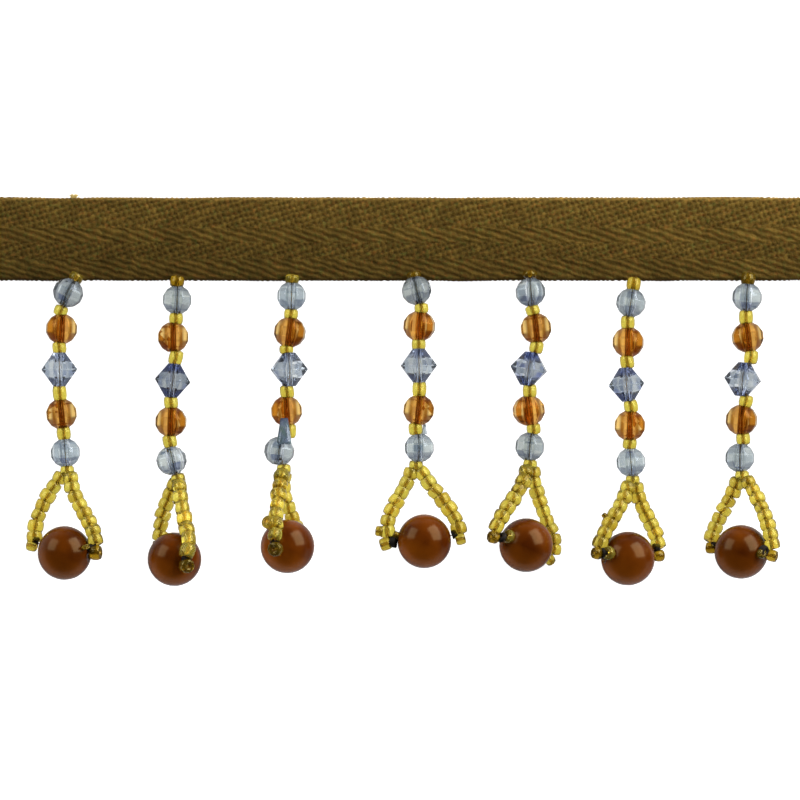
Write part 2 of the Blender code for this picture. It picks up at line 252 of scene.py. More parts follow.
# Stray bits of the photo. The chips of glass: middle, way, width and length against their shape's own, and
# tone. The tuft of pale yarn at the tape's top edge: its size, and how far its ends lie apart and arch up.
CHIPS = (
    ((-21.0, -7.1, 5.25), (0.0, -1.0, 0.11), 1.0, 1.0, 1.15),
    ((4.25, -6.75, 3.0), (0.0, -1.0, 0.0), 0.34, 0.38, 2.2),
)
CHIP_FLATNESS = 0.35
TUFT_MIDDLE = Vector((-58.9 * MM, 34.9 * MM, 1.0 * MM))
TUFT_HEIGHT = 0.7 * MM
TUFT_SPREAD = 0.9 * MM
TUFT_FOOT = 0.4
TUFT_DEPTH = 0.3
TUFT_ARCH = 0.1 * MM
TUFT_ENDS = 9


def operation(name):
    return lambda self, *others: self.math(name, *others)


class Field:
    """A value that varies over a node tree's field. Arithmetic on it adds Math nodes to the tree."""

    def __init__(self, socket):
        self.socket = socket
        self.tree = socket.id_data

    def math(self, name, *others):
        node = add(self.tree, "ShaderNodeMath", {"operation": name})
        for socket, value in zip(node.inputs, (self, *others)):
            plug(socket, value)
        return Field(node.outputs[0])

    __add__ = __radd__ = operation("ADD")
    __sub__ = operation("SUBTRACT")
    __mul__ = __rmul__ = operation("MULTIPLY")
    __truediv__ = operation("DIVIDE")
    __abs__ = operation("ABSOLUTE")
    over = operation("GREATER_THAN")
    power = operation("POWER")
    root = operation("SQRT")

    def __rsub__(self, other):
        return self * -1 + other

    def nearest(self):
        """The nearest whole number."""
        return (self + 0.5).math("FLOOR")

    def wave(self):
        """1 at whole numbers and 0 half way between them."""
        return (self * TAU).math("COSINE") * 0.5 + 0.5

    def clamped(self):
        return self.math("MAXIMUM", 0.0).math("MINIMUM", 1.0)

    def step(self, low, high):
        """0 up to low, 1 from high, and a straight slope between."""
        return ((self - low) / (high - low)).clamped()


def plug(socket, value):
    """Links a socket to a field or another socket, or sets its own value."""
    value = getattr(value, "socket", value)
    if isinstance(value, bpy.types.NodeSocket):
        socket.id_data.links.new(value, socket)
    elif socket.type == "RGBA":
        socket.default_value = (*value, 1.0)
    else:
        socket.default_value = value


def add(tree, kind, settings=None, **inputs):
    """A node with its settings, and its inputs by their names in lower case with underscores."""
    node = tree.nodes.new(kind)
    for name, value in (settings or {}).items():
        setattr(node, name, value)
    for name, value in inputs.items():
        names = [s.name.lower().replace(" ", "_") if not s.is_unavailable else "" for s in node.inputs]
        plug(node.inputs[names.index(name)], value)
    return node


def output(node, name):
    return next(s for s in node.outputs if s.name == name and not s.is_unavailable)


def field(node, name):
    return Field(output(node, name))


def joined(x, y, z=0.0):
    """A vector of three parts, of which at least one is a field."""
    tree = next(part.tree for part in (x, y, z) if isinstance(part, Field))
    return output(add(tree, "ShaderNodeCombineXYZ", x=x, y=y, z=z), "Vector")


def parts_of(vector):
    """The three parts of a vector, each as a field."""
    split = add(vector.id_data, "ShaderNodeSeparateXYZ", vector=vector)
    return [field(split, axis) for axis in "XYZ"]


def cloud(place, kind):
    """Soft noise about 0, at most half its reach either way."""
    node = add(place.id_data, "ShaderNodeTexNoise", vector=place, scale=kind.scale, detail=kind.detail)
    return (Field(node.outputs[0]) - 0.5) * kind.reach


def own_number(place):
    """A number that each place has of its own."""
    node = add(place.id_data, "ShaderNodeTexWhiteNoise", {"noise_dimensions": "3D"}, vector=place)
    return field(node, "Value")


class Recipe:
    """A Geometry Nodes tree with named inputs, ending in Realize Instances and Set Material."""

    def __init__(self, name, **inputs):
        self.tree = bpy.data.node_groups.new(name, "GeometryNodeTree")
        face = self.tree.interface
        for way in ("OUTPUT", "INPUT"):
            face.new_socket(name="Geometry", in_out=way, socket_type="NodeSocketGeometry")
        self.ids = {}
        for label, value in {**inputs, "finish": bpy.types.Material}.items():
            kind = (value if isinstance(value, type) else type(value)).__name__.title()
            socket = face.new_socket(name=label, in_out="INPUT", socket_type=f"NodeSocket{kind}")
            self.ids[label] = socket.identifier
            if not isinstance(value, type):
                socket.default_value = value
        self.entry = self.tree.nodes.new("NodeGroupInput")
        self.exit = self.tree.nodes.new("NodeGroupOutput")

    def add(self, kind, settings=None, **inputs):
        return add(self.tree, kind, settings, **inputs)

    def get(self, wanted, kind, settings=None, **inputs):
        """Adds a node and gives the output of it that is wanted."""
        return output(self.add(kind, settings, **inputs), wanted)

    def __getitem__(self, label):
        """One of the recipe's inputs."""
        return field(self.entry, label)

    def given(self, name):
        """What each point has: its Position, Normal or Tangent."""
        return self.get(name, f"GeometryNodeInput{name}")

    def attribute(self, name):
        settings = {"data_type": "FLOAT_VECTOR"}
        return self.get("Attribute", "GeometryNodeInputNamedAttribute", settings, name=name)

    def store(self, kind, domain, **stored):
        settings = {"data_type": kind, "domain": domain}
        return self.get("Geometry", "GeometryNodeStoreNamedAttribute", settings, **stored)

    def moved(self, geometry, **inputs):
        return self.get("Geometry", "GeometryNodeSetPosition", geometry=geometry, **inputs)

    def together(self, *pieces):
        both = self.add("GeometryNodeJoinGeometry")
        for piece in pieces:
            plug(both.inputs[0], piece)
        return output(both, "Geometry")

    def tube(self, curve, radius, sides):
        """A tube round a curve, closed at its ends."""
        ring = self.get("Curve", "GeometryNodeCurvePrimitiveCircle", resolution=sides, radius=radius)
        return self.get("Mesh", "GeometryNodeCurveToMesh", curve=curve, profile_curve=ring, fill_caps=True)

    def smooth(self, geometry):
        return self.get("Geometry", "GeometryNodeSetShadeSmooth", geometry=geometry)

    def end(self, geometry):
        realised = self.get("Geometry", "GeometryNodeRealizeInstances", geometry=geometry)
        painted = {"geometry": realised, "material": self["finish"]}
        plug(self.exit.inputs[0], self.get("Geometry", "GeometryNodeSetMaterial", **painted))
        return self

    def make(self, name, carrier, finish, **values):
        """Runs the recipe on a mesh, and gives a plain mesh object with its finish alone."""
        helper = placed(name + "_recipe", carrier)
        modifier = helper.modifiers.new(self.tree.name, "NODES")
        modifier.node_group = self.tree
        for label, value in {**values, "finish": finish}.items():
            modifier[self.ids[label]] = value
        bpy.context.view_layer.update()
        evaluated = helper.evaluated_get(bpy.context.evaluated_depsgraph_get())
        mesh = bpy.data.meshes.new_from_object(evaluated)
        mesh.name = name
        mesh.materials.clear()
        mesh.materials.append(finish)
        bpy.data.objects.remove(helper)
        return placed(name, mesh)


def placed(name, mesh):
    piece = bpy.data.objects.new(name, mesh)
    bpy.context.scene.collection.objects.link(piece)
    return piece


def herringbone(x, v):
    """The weave at a place along and across the tape, for its relief and for its colours.

    Gives how near the place is to a rib's crest and to a pick's, the pinhole between the picks, a number of
    each float's own, and how strong the painted light on the rib is there."""
    place = joined(x, v)
    passed = [v.over(limit) for limit in BAND_LIMITS]
    lean = 1 - passed[0] * 2 + passed[1] * 2 - passed[2] * 2
    quiet = passed[0] - passed[1] + passed[2]
    wander = cloud(place, RIB_DRIFT) + cloud(place, RIB_WOBBLE)
    phase = (v + x * RIB_SLOPE * lean) / RIB_PITCH + wander
    row = phase.nearest()
    picks = x / PICK_PITCH + cloud(place, PICK_DRIFT) + row * PICK_STEP
    column = picks.nearest()
    ridge = phase.wave()
    pick = picks.wave() * (quiet * 0.6 + 0.4)
    painted_rib_streak = cloud(joined(x * PAINTED_STREAKS_PER_METRE, phase * PAINTED_STREAKS_PER_RIB), PAINTED_RIB_STREAKS)
    pinhole = ((1 - ridge) * (1 - pick)).power(1.5) * (quiet * 0.75 + 0.25)
    rib = ridge * (1 - quiet * (1 - QUIET_RIBS))
    return rib, pick, pinhole, own_number(joined(row, column, quiet)), painted_rib_streak


def twill_recipe():
    """A tape whose face is woven in herringbone bands, with rounded, uneven selvedges and a flat back."""
    sizes = {"length": 0.1, "width": 0.01, "lower_edge": 0.0, "thickness": 1.2 * MM}
    heights = {"rib_height": 0.14 * MM, "pick_height": 0.05 * MM, "pinhole_depth": 0.08 * MM}
    edges = {"selvedge": 0.5 * MM, "edge_sway": 0.2 * MM}
    recipe = Recipe("herringbone_tape", **sizes, **heights, **edges, columns=741, rows=119)
    length, width, low = (recipe[n] for n in ("length", "width", "lower_edge"))
    rib_height, pick_height = recipe["rib_height"], recipe["pick_height"]
    counts = {"vertices_x": recipe["columns"], "vertices_y": recipe["rows"]}
    grid = recipe.add("GeometryNodeMeshGrid", size_x=length, size_y=width, **counts)

    x, across, _ = parts_of(recipe.given("Position"))
    scallop = (x / SCALLOP_PITCH + cloud(joined(x, across), EDGE_SCALLOPS)).wave() - 0.5
    sway = cloud(joined(x, across.math("SIGN")), EDGE_SWAY) + scallop * 0.9
    fade = abs(across / width * 2).power(6.0)
    side = across + sway * recipe["edge_sway"] * fade + low + width * 0.5
    wavy = recipe.moved(output(grid, "Mesh"), position=joined(x, side))
    flat = recipe.store("FLOAT2", "CORNER", geometry=wavy, name="UVMap", value=output(grid, "UV Map"))

    x, y, _ = parts_of(recipe.given("Position"))
    v = y - low
    rib, pick, pinhole, own, _ = herringbone(x, v)
    edge = v.math("MINIMUM", width - v) / recipe["selvedge"]
    rise = (1 - (1 - edge.clamped()).power(2.0)).root()
    proud = rib * rib_height + pick * pick_height * (own * 0.8 + 0.6)
    place = joined(x, v)
    swell = (cloud(place, FINE_SWELL) + cloud(place, BROAD_SWELL)) * MM
    relief = (proud - pinhole * recipe["pinhole_depth"] + swell) * rise
    ceiling = recipe["thickness"] - rib_height - pick_height
    height = ceiling * (rise * 0.6 + 0.4) + relief
    face = recipe.moved(flat, position=joined(x, y, height))

    neighbours = recipe.get("Face Count", "GeometryNodeInputMeshEdgeNeighbors")
    equal = {"data_type": "INT", "operation": "EQUAL"}
    rim = recipe.get("Result", "FunctionNodeCompare", equal, a=neighbours, b=1)
    drop = {"offset": (0, 0, -1), "offset_scale": 1e-4}
    walls = recipe.add("GeometryNodeExtrudeMesh", {"mode": "EDGES"}, mesh=face, selection=rim, **drop)
    x, y, _ = parts_of(recipe.given("Position"))
    grounded = recipe.moved(output(walls, "Mesh"), selection=output(walls, "Top"), position=joined(x, y))
    outline = recipe.get("Curve", "GeometryNodeMeshToCurve", mesh=flat, selection=rim)
    back = recipe.get("Mesh", "GeometryNodeFillCurve", curve=outline)
    both = recipe.together(back, grounded)
    closed = recipe.get("Geometry", "GeometryNodeMergeByDistance", geometry=both, distance=1e-6)
    return recipe.end(recipe.smooth(closed))


def strung_recipe():
    """One shape set on every spot, along the spot's axis, at the spot's size, with a little lean and spin."""
    recipe = Recipe("strung_beads", shape=bpy.types.Object, lean=0.0, spin=0.0, seed=0)
    info = recipe.get("Geometry", "GeometryNodeObjectInfo", object=recipe["shape"])
    local = recipe.given("Position")
    shape = recipe.store("FLOAT_VECTOR", "POINT", geometry=info, name="local", value=local)
    axis = recipe.attribute("axis")
    aligned = recipe.get("Rotation", "FunctionNodeAlignRotationToVector", {"axis": "Z"}, vector=axis)
    reach = {"min": (-1.0, -1.0, -1.0), "max": (1.0, 1.0, 1.0), "seed": recipe["seed"]}
    swing = recipe.get("Value", "FunctionNodeRandomValue", {"data_type": "FLOAT_VECTOR"}, **reach)
    along, aside, round_thread = parts_of(swing)
    lean = recipe["lean"]
    angles = joined(along * lean, aside * lean, round_thread * recipe["spin"])
    turn = recipe.get("Rotation", "FunctionNodeEulerToRotation", euler=angles)
    own = {"rotation_space": "LOCAL"}
    turned = recipe.get("Rotation", "FunctionNodeRotateRotation", own, rotation=aligned, rotate_by=turn)
    setting = {"points": recipe["Geometry"], "instance": shape, "rotation": turned}
    size = recipe.attribute("size")
    return recipe.end(recipe.get("Instances", "GeometryNodeInstanceOnPoints", **setting, scale=size))


def thread_recipe():
    """Two plies laid up round each line of the carrier."""
    recipe = Recipe("laid_thread", width=THREAD_WIDTH, ply_pitch=1.6 * MM, step=0.25 * MM, sides=6)
    width, step = recipe["width"], recipe["step"]
    line = recipe.get("Curve", "GeometryNodeMeshToCurve", mesh=recipe["Geometry"])
    even = recipe.get("Curve", "GeometryNodeResampleCurve", {"mode": "LENGTH"}, curve=line, length=step)
    along = Field(recipe.get("Length", "GeometryNodeSplineParameter"))
    tangent = recipe.given("Tangent")
    normal = recipe.given("Normal")
    angle = along / recipe["ply_pitch"] * TAU
    spin = {"rotation_type": "AXIS_ANGLE"}
    plies = []
    for half_turn in (0.0, math.pi):
        turned = {"vector": normal, "axis": tangent, "angle": angle + half_turn}
        side = recipe.get("Vector", "ShaderNodeVectorRotate", spin, **turned)
        scaled = {"vector": side, "scale": width * 0.25}
        shift = recipe.get("Vector", "ShaderNodeVectorMath", {"operation": "SCALE"}, **scaled)
        plies.append(recipe.tube(recipe.moved(even, offset=shift), width * 0.27, recipe["sides"]))
    return recipe.end(recipe.smooth(recipe.together(*plies)))


def winding_recipe():
    """A few wraps of thread pulled up into a small knot about the Z axis, one unit wide."""
    sizes = {"top_radius": 0.26, "foot_radius": 0.33, "thickness": 0.17, "height": 0.62}
    recipe = Recipe("wound_knot", wraps=3.6, steps=14, sides=6, **sizes)
    wraps, height = recipe["wraps"], recipe["height"]
    radii = {"start_radius": recipe["foot_radius"], "end_radius": recipe["top_radius"]}
    turns = {"resolution": recipe["steps"], "rotations": wraps, "height": height}
    spiral = recipe.get("Curve", "GeometryNodeCurveSpiral", **turns, **radii)
    tube = recipe.tube(spiral, recipe["thickness"], recipe["sides"])
    centred = recipe.moved(tube, offset=joined(0.0, 0.0, height * -0.5))
    return recipe.end(recipe.smooth(centred))


def titled(label):
    return label.replace("_", " ").title()


def shader_group(name, **inputs):
    """A shader node group with its inputs by name, and the node that they come in by."""
    tree = bpy.data.node_groups.new(name, "ShaderNodeTree")
    for label, value in inputs.items():
        kind = "Float" if isinstance(value, float) else {3: "Vector", 4: "Color"}[len(value)]
        kind = f"NodeSocket{kind}"
        socket = tree.interface.new_socket(name=titled(label), in_out="INPUT", socket_type=kind)
        socket.default_value = value
    return tree, tree.nodes.new("NodeGroupInput")


def put_out(tree, **results):
    """Gives a shader node group its outputs by name: a colour, and numbers."""
    for label in results:
        kind = "Color" if label == "color" else "Float"
        tree.interface.new_socket(name=titled(label), in_out="OUTPUT", socket_type=f"NodeSocket{kind}")
    leave = tree.nodes.new("NodeGroupOutput")
    for label, result in results.items():
        plug(leave.inputs[titled(label)], result)
    return tree


def mottle_group():
    """Uneven colour: two tones mixed by soft noise, and a fine grain for bump."""
    tones = {"tone": (0.5, 0.5, 0.5, 1.0), "other_tone": (0.4, 0.4, 0.4, 1.0)}
    sizes = {"patch_scale": 800.0, "grain_scale": 4000.0}
    tree, entry = shader_group("uneven_tone", **tones, **sizes, contrast=3.0, shift=0.0)
    place = output(add(tree, "ShaderNodeTexCoord"), "Object")
    scales = [output(entry, titled(size)) for size in sizes]
    patch, grain = (add(tree, "ShaderNodeTexNoise", vector=place, scale=scale).outputs[0] for scale in scales)
    mask = ((Field(patch) - 0.5) * field(entry, "Contrast") + field(entry, "Shift") + 0.5).clamped()
    mixed = mix(mask, output(entry, "Tone"), output(entry, "Other Tone"))
    return put_out(tree, color=mixed, mask=mask, grain=grain)


def cut_glass_group():
    """Each facet's own number, how far its middle lies along and aside, and whether it is in the bore."""
    tree, entry = shader_group("cut_glass", facet=(0.0, 0.0, 0.0), bead=0.0)
    x, y, z = (part / MM for part in parts_of(output(entry, "Facet")))
    steps = [(part * 12 + field(entry, "Bead") * 90).math("ROUND") for part in (x, y, z)]
    bore = 1 - (x * x + y * y).root().over(0.7)
    return put_out(tree, own=own_number(joined(*steps)), along=z, aside=abs(x), bore=bore)


def mix(share, first, second, blend="MIX"):
    """The first colour, with a share of the second in it."""
    tree = share.tree if isinstance(share, Field) else first.id_data
    node = add(tree, "ShaderNodeMix", {"data_type": "RGBA", "blend_type": blend})
    for socket, value in ((0, share), (6, first), (7, second)):
        plug(node.inputs[socket], value)
    return node.outputs[2]


MOTTLE = mottle_group()
CUT_GLASS = cut_glass_group()


class Finish:
    """A material being made: one Principled shader with what feeds it."""

    def __init__(self, name, **constants):
        self.material = bpy.data.materials.new(name)
        self.material.use_nodes = True
        self.tree = self.material.node_tree
        self.shader = self.tree.nodes["Principled BSDF"]
        for label, value in {"metallic": 0.0, **constants}.items():
            self.set(titled(label).replace("Ior", "IOR"), value)

    def set(self, label, value):
        plug(self.shader.inputs[label], value)

    def add(self, kind, settings=None, **inputs):
        return add(self.tree, kind, settings, **inputs)

    def attribute(self, name):
        return field(self.add("ShaderNodeAttribute", {"attribute_name": name}), "Fac")

    def vector(self, name):
        return output(self.add("ShaderNodeAttribute", {"attribute_name": name}), "Vector")

    def surface(self, name):
        """The parts of the surface's own place or direction."""
        return parts_of(output(self.add("ShaderNodeTexCoord"), name))

    def group(self, tree, **values):
        node = self.tree.nodes.new("ShaderNodeGroup")
        node.node_tree = tree
        for label, value in values.items():
            plug(node.inputs[titled(label)], value)
        return node

    def mottled(self, scale, *tones, **values):
        return self.group(MOTTLE, patch_scale=scale, **dict(zip(("tone", "other_tone"), tones)), **values)

    def patches(self, scale, **values):
        return field(self.mottled(scale, **values), "Mask")

    def turned_away(self, low, high):
        """0 where the surface faces the eye, up to 1 where it turns away."""
        return field(self.add("ShaderNodeLayerWeight"), "Facing").step(low, high)

    def shaded(self, source, level):
        """Sets the colour, lighter or darker by a level, and gives the material."""
        grey = self.add("ShaderNodeCombineColor", red=level, green=level, blue=level)
        self.set("Base Color", mix(1.0, source, grey.outputs[0], "MULTIPLY"))
        return self.material

    def bump(self, height, depth):
        node = self.add("ShaderNodeBump", height=height, strength=1.0, distance=depth)
        self.set("Normal", output(node, "Normal"))


class Glass(Finish):
    """Clear glass, with the tone of each bead and the place on the bead's own shape."""

    def __init__(self, name, tint, roughness, clearness, ior=1.45, **constants):
        clear = {"specular_tint": tint, "transmission_weight": clearness, "ior": ior}
        super().__init__(name, roughness=roughness, **clear, **constants)
        self.tone = self.attribute("tone")
        self.place = parts_of(self.vector("local"))


def twill_finish():
    """Olive and brown yarns with reddish and greenish flecks, paler along the top selvedge, with painted
    light on the ribs' crests, painted shade in the pinholes, and painted light growing towards the top and
    the right.
    """
    finish = Finish("olive_twill", specular_ior_level=0.05, roughness=0.9)
    x, y, _ = finish.surface("Object")
    v = y - TAPE_LOW.y
    rib, pick, pinhole, own, painted_rib_streak = herringbone(x, v)
    base = finish.mottled(700.0, OLIVE_YARN, BROWN_YARN, grain_scale=5000.0)
    grain = field(base, "Grain")
    cloth = output(base, "Color")
    for fineness, rarity, tone in FLECKS:
        flecks = finish.patches(fineness, contrast=5.0, shift=rarity)
        cloth = mix(flecks * 0.8, cloth, tone)
    crest = (v / (TAPE_HIGH.y - TAPE_LOW.y)).step(0.94, 0.985)
    golden = mix(crest * 0.8, cloth, SELVEDGE_YARN)
    # Painted light on the ribs' crests and the picks, and painted shade in the pinholes.
    light = (rib * (painted_rib_streak * 1.5 + 0.22) + pick * 0.12 + 0.78 - pinhole * 0.3) * (own * 0.3 + 0.86)
    # Painted light: the tape grows lighter towards its top and its right.
    painted_light_slope = v / (15 * MM) * 0.5 + 0.60 + x / (148 * MM) * 0.25
    level = painted_light_slope + cloud(joined(x, v), LIGHT_PATCHES)
    finish.bump(rib * 0.2 + pick * 0.2 - pinhole * 0.4 + grain * 0.8, 0.16 * MM)
    return finish.shaded(golden, light * level * (grain * 0.9 + 0.55))


class CutGlass(Glass):
    """Cut glass: a soft inside under a polish, with what each facet has of its own."""

    def __init__(self, name, tint, roughness, **constants):
        super().__init__(name, tint, roughness, 0.94, **constants)
        facets = self.group(CUT_GLASS, facet=self.vector("facet"), bead=self.tone)
        names = ("Own", "Along", "Aside", "Bore")
        self.own, self.along, self.aside, self.bore = (field(facets, name) for name in names)
        x, _, z = self.place
        self.outward, self.down = abs(x / MM), z / MM

    def rimmed(self, tinted, share, rim, bored, low=0.3, high=0.7):
        """Painted shade where the glass turns away from the eye, and another tone in the bore."""
        outside = mix(self.turned_away(low, high) * share, tinted, rim)
        return self.shaded(mix(self.bore * 0.9, outside, bored), self.attribute("light"))


def blue_finish():
    """Steel-blue cut glass, with painted light on the side facets and painted shade in dark blue below the
    middle and at the top end.
    """
    finish = CutGlass("steel_blue_glass", (0.75, 0.85, 0.95), 0.1)
    patches = finish.patches(500.0)
    pale, slate = (0.48, 0.53, 0.49), (0.062, 0.097, 0.140)
    # Painted light: the side facets are paler than the middle ones.
    painted_light_pale, painted_light_slate = (0.70, 0.74, 0.74), (0.20, 0.26, 0.34)
    painted_navy_shade, rim, bore = (0.022, 0.032, 0.095), (0.10, 0.12, 0.13), (0.80, 0.83, 0.83)
    middle = mix(finish.own, pale, slate)
    sides = mix(finish.own * 0.6, painted_light_pale, painted_light_slate)
    steel = mix(finish.aside.step(0.5, 1.2), middle, sides)
    # Painted shade in dark blue below the middle and at the top end.
    edge = (finish.down + (patches - 0.5) * 0.8).step(0.55, 0.95)
    lower = edge * (finish.own * 0.3 + 0.6) * (finish.tone * 0.3 + 0.7)
    upper = (finish.along * -1).step(0.8, 1.9) * (finish.own * 0.6 + 0.2)
    return finish.rimmed(mix((lower + upper).clamped(), steel, painted_navy_shade), 0.6, rim, bore)


def bicone_finish():
    """Pale lavender-blue cut glass, with painted shade in dark blue at the ends and in patches, and a painted
    highlight down its middle.
    """
    finish = CutGlass("lavender_blue_glass", (0.6, 0.72, 1.0), 0.06)
    patches = finish.patches(420.0, contrast=5.0, shift=-0.35)
    lavender, slate, painted_highlight = (0.445, 0.495, 0.53), (0.15, 0.19, 0.25), (0.78, 0.78, 0.70)
    painted_shade_blue, rim, bore = (0.018, 0.042, 0.27), (0.25, 0.28, 0.33), (0.95, 0.97, 1.0)
    # Painted shade in dark blue at both ends and in patches on the lower outer facets.
    high = (finish.down * -1).step(1.1, 2.2)
    low = finish.down.step(1.3, 2.6) * 0.7
    painted_shade_patches = patches * finish.down.step(0.1, 0.5) * finish.outward.step(0.3, 0.7)
    painted_navy_shade = (high * 0.85 + low + painted_shade_patches * 0.8).clamped() * (1 - finish.tone * 0.6)
    # Painted highlight down the front of the middle.
    middle = finish.outward.step(0.6, 0.25) * abs(finish.down).step(2.0, 1.2)
    pale = mix(finish.own, lavender, slate)
    painted_brighter = mix(middle * 0.5, pale, painted_highlight)
    return finish.rimmed(mix(painted_navy_shade, painted_brighter, painted_shade_blue), 0.3, rim, bore, 0.52, 0.95)


def amber_finish():
    """Amber cut glass, golden at the sides, with painted light in pale gold on the flanks and painted shade
    in dark brown towards the ends, most of all below.
    """
    finish = CutGlass("amber_cut_glass", (0.8, 0.3, 0.02), 0.12, specular_ior_level=0.3)
    patches = finish.patches(600.0)
    amber, deep_amber = (0.52, 0.165, 0.008), (0.28, 0.068, 0.004)
    golden, deep_golden, painted_light_honey = (0.33, 0.090, 0.0020), (0.13, 0.020, 0.0001), (0.74, 0.37, 0.045)
    painted_shade_brown, rim, bore = (0.038, 0.0027, 0.0), (0.05, 0.012, 0.001), (0.85, 0.62, 0.50)
    uneven = (finish.own + patches * 0.4).clamped()
    middle = mix(uneven, amber, deep_amber)
    beside = mix(uneven * 0.8, golden, deep_golden)
    side = finish.outward.step(0.8, 1.2)
    flank = finish.outward.step(1.45, 1.9)
    # Painted light in pale gold on the flanks.
    glass = mix(side, middle, mix(flank * 0.9, beside, painted_light_honey))
    # Painted shade in dark brown below and towards the ends.
    below = finish.down.step(-2.0, 1.2) * (1 - flank) + finish.down.step(0.4, 0.8) * flank
    ends = abs(finish.down).step(1.2, 1.9)
    brown = (below * side + ends * (side * 0.7 + 0.1)).clamped() * 0.95
    return finish.rimmed(mix(brown, glass, painted_shade_brown), 0.6, rim, bore)


def chip_finish():
    """Cloudy blue-grey glass, greenish in places, and paler for the highest tones."""
    finish = Glass("cloudy_blue_glass", (0.8, 0.85, 0.95), 0.15, 0.6)
    violet, pale_grey = (0.07, 0.08, 0.17), (0.26, 0.275, 0.285)
    clouds = finish.mottled(900.0, (0.20, 0.25, 0.34), (0.13, 0.20, 0.20))
    top = (finish.place[2] / MM * -1).step(1.0, 2.2)
    dark = mix(top * 0.6, output(clouds, "Color"), violet)
    return finish.shaded(mix(finish.tone.step(1.4, 2.0) * 0.8, dark, pale_grey), finish.tone)


def seed_finish():
    """Clear yellow glass, brown in the hole, with painted shade in a dull green-brown at the ends and round
    the rim.
    """
    finish = Glass("golden_seed_glass", (1.0, 0.85, 0.35), 0.1, 0.78, 1.42)
    lemon, amber, painted_shade_olive = (0.64, 0.60, 0.10), (0.62, 0.36, 0.015), (0.38, 0.23, 0.018)
    hole, rim = (0.80, 0.48, 0.08), (0.24, 0.15, 0.014)
    x, y, z = finish.place
    yellow = finish.mottled(900.0, (0.69, 0.58, 0.086), (0.57, 0.38, 0.019))
    own = finish.add("ShaderNodeTexWhiteNoise", {"noise_dimensions": "1D"}, w=finish.tone * 60)
    glass = mix(field(own, "Value") * 0.6, output(yellow, "Color"), lemon)
    # Seed beads of low tone turn amber: painted shade for those at the tape and in the mouths of the brown
    # beads, their own tone for the darker seed beads of the legs.
    glass = mix((0.9 - finish.tone).step(0.05, 0.4), glass, amber)
    # Painted shade at the ends, where the seed beads meet.
    glass = mix(abs(z).step(0.30, 0.5) * 0.6, glass, painted_shade_olive)
    glass = mix((x * x + y * y).root().step(0.22, 0.16), glass, hole)
    # Painted shade: a dark rim where the surface turns away from the eye.
    return finish.shaded(mix(finish.turned_away(0.6, 1.0) * 0.7, glass, rim), finish.tone)


def brown_finish():
    """Polished brown resin, with a painted orange-brown glow on its lower left, where light would shine
    through it.
    """
    finish = Finish("polished_brown_resin", specular_tint=(1.0, 0.70, 0.32), specular_ior_level=0.22)
    red_brown, brown, painted_glow_orange = (0.058, 0.0105, 0.0005), (0.135, 0.031, 0.0013), (0.30, 0.074, 0.0025)
    clouds = finish.mottled(170.0, red_brown, brown, shift=-0.1)
    across, up, high = finish.surface("Normal")
    # Painted glow: orange-brown on the lower left of the bead, as though light shone through the resin.
    below = (up * -1 - across * 0.5).step(0.05, 0.85) * high.step(0.05, 0.6)
    painted_glow = mix(below * 0.75, output(clouds, "Color"), painted_glow_orange)
    finish.set("Roughness", field(clouds, "Grain") * 0.06 + 0.16)
    return finish.shaded(painted_glow, finish.attribute("tone"))


def yarn_finish(name, tone, other_tone):
    finish = Finish(name, specular_ior_level=0.2)
    twist = finish.mottled(2500.0, tone, other_tone, contrast=2.0)
    finish.set("Base Color", output(twist, "Color"))
    finish.set("Roughness", field(twist, "Mask") * 0.2 + 0.6)
    finish.bump(output(twist, "Grain"), 0.03 * MM)
    return finish.material


def turned_shape(name, rings, sides, bevel=0.0):
    """A bead with a hole, from rings that go down its outside and back up the hole. One flat faces +Y."""
    shape = bmesh.new()
    turns = [TAU * (k + 0.5) / sides + (0 if sides % 4 == 0 else TAU / 4) for k in range(sides)]
    rows = []
    for radius, height in rings:
        rows.append([shape.verts.new((radius * math.cos(t), radius * math.sin(t), height)) for t in turns])
    for row, after in zip(rows, rows[1:] + rows[:1]):
        for k in range(sides):
            n = (k + 1) % sides
            shape.faces.new((row[k], row[n], after[n], after[k]))
    bmesh.ops.recalc_face_normals(shape, faces=shape.faces)
    if bevel:
        outer = [e for e in shape.edges if max(v.co.xy.length for v in e.verts) > BORE_WIDTH * 0.6]
        rounding = {"segments": 2, "profile": 0.5, "affect": "EDGES", "clamp_overlap": True}
        bmesh.ops.bevel(shape, geom=outer, offset=bevel, **rounding)
    mesh = bpy.data.meshes.new(name)
    shape.to_mesh(mesh)
    shape.free()
    mesh.shade_smooth()
    facet = mesh.attributes.new("facet", "FLOAT_VECTOR", "FACE")
    for i, polygon in enumerate(mesh.polygons):
        facet.data[i].vector = polygon.center
    return placed(name, mesh)


def arc_rings(width, bore, steps):
    """Rings of a round bead from its top mouth to its lower one."""
    mouth = math.asin(bore / width)
    turns = [mouth + (math.pi - 2 * mouth) * i / steps for i in range(steps + 1)]
    return [(width / 2 * math.sin(t), width / 2 * math.cos(t)) for t in turns]


def in_mm(rings):
    return [(radius * MM, height * MM) for radius, height in rings]


def mirrored(half):
    """The rings of one half and, the other way up, of the other half."""
    return [*half, *[(radius, -height) for radius, height in reversed(half)]]


